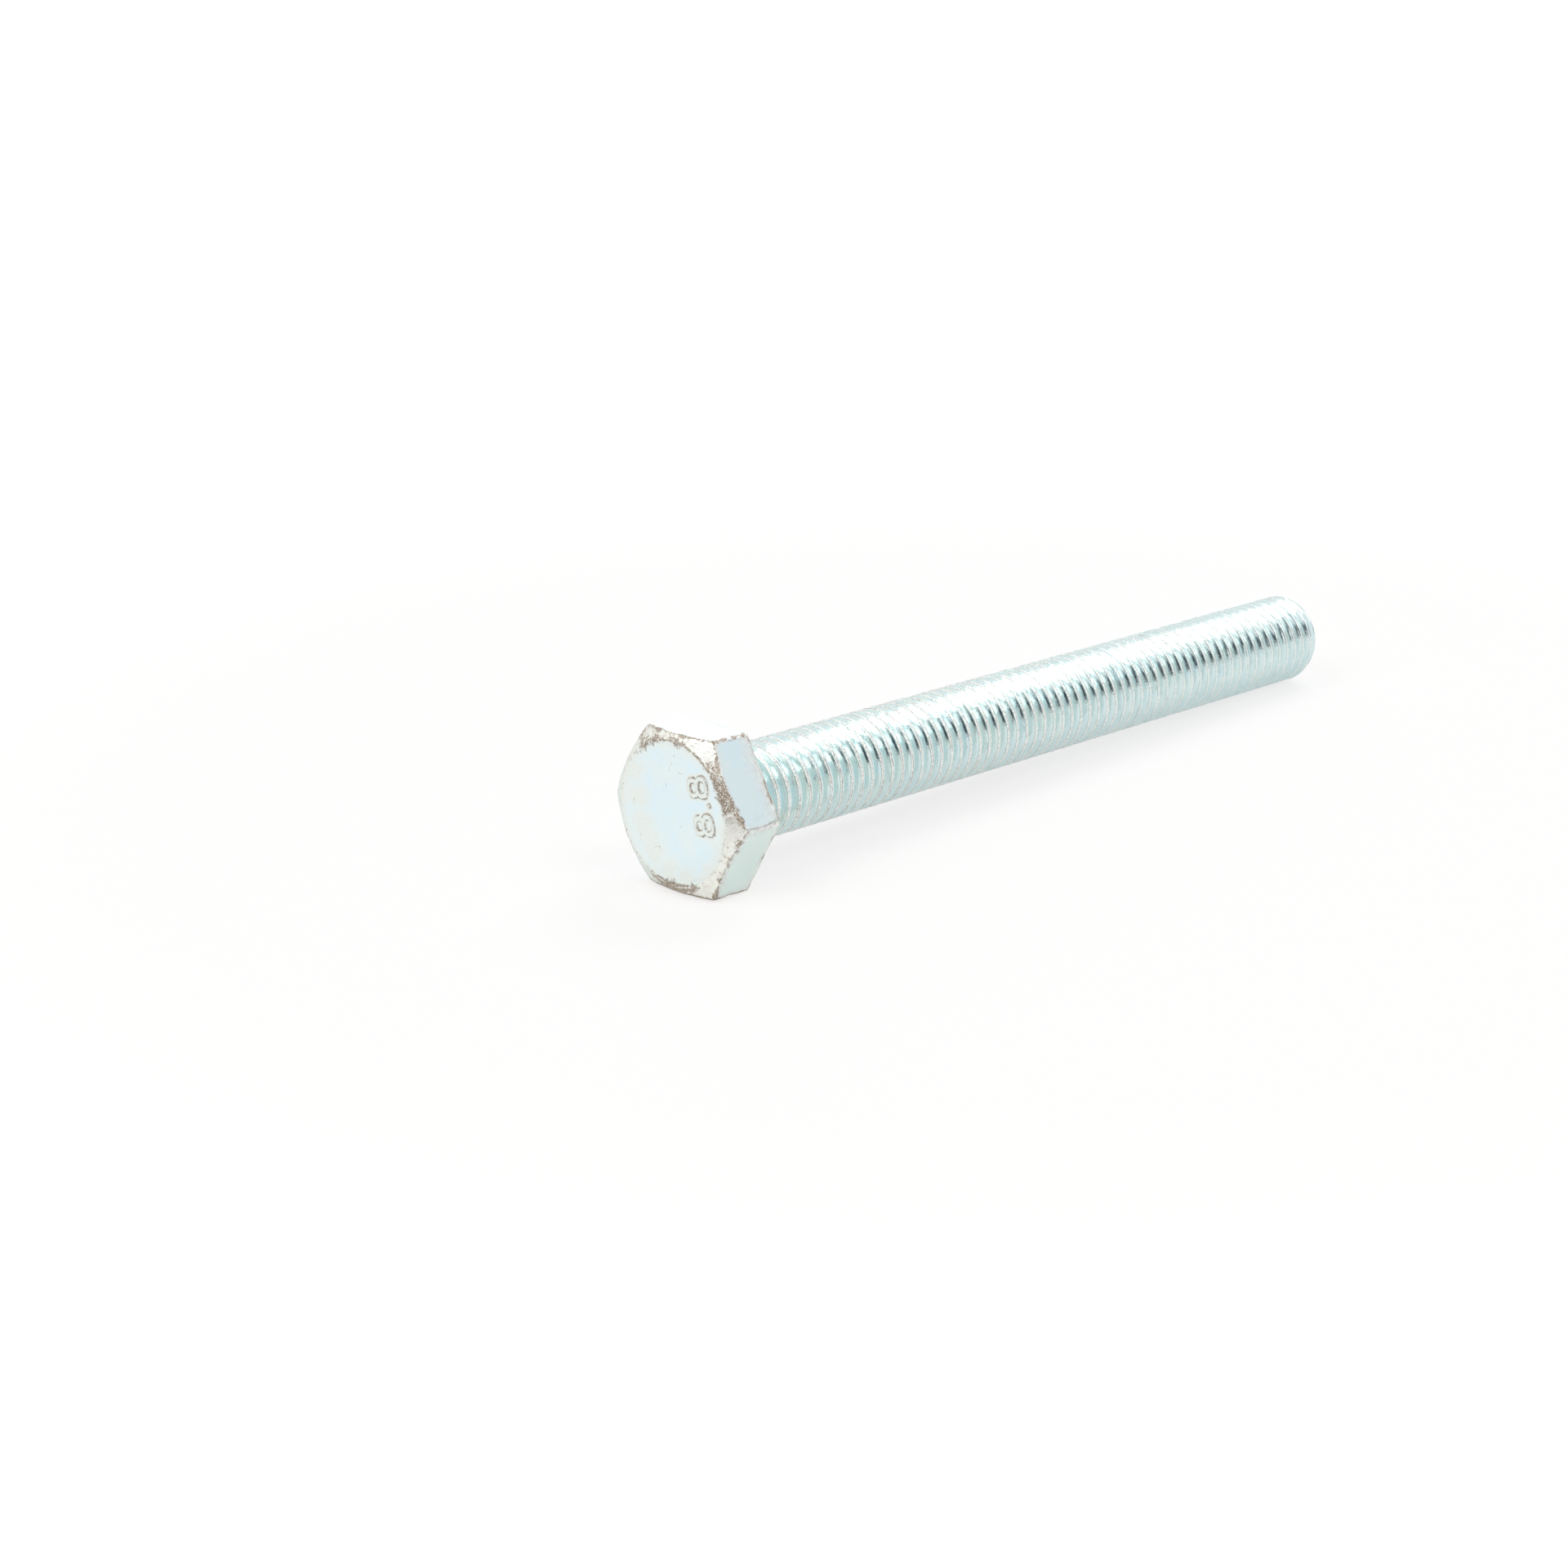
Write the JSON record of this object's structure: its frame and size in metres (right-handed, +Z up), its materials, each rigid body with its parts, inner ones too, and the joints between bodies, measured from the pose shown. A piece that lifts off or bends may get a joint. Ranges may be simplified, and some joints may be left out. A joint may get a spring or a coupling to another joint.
{
  "type": "hex bolt",
  "caption": "Fully threaded hexagon head bolt with a washer face and a chamfered tip, for clamping parts together.",
  "frame": {"origin": "centre of the bottom of the box around the bolt, on the surface that it lies on", "axes": "+X runs from the head towards the tip of the thread, +Z is up, and the bolt's own axis falls 1.9 degrees from +X towards the tip"},
  "size_m": [0.1178, 0.022, 0.0192],
  "materials": {
    "zinc_plate": "zinc plated, pale blue passivated, satin, lightly worn"
  },
  "bodies": {
    "root": {"hex_bolt": "zinc_plate"}
  },
  "joints": []
}
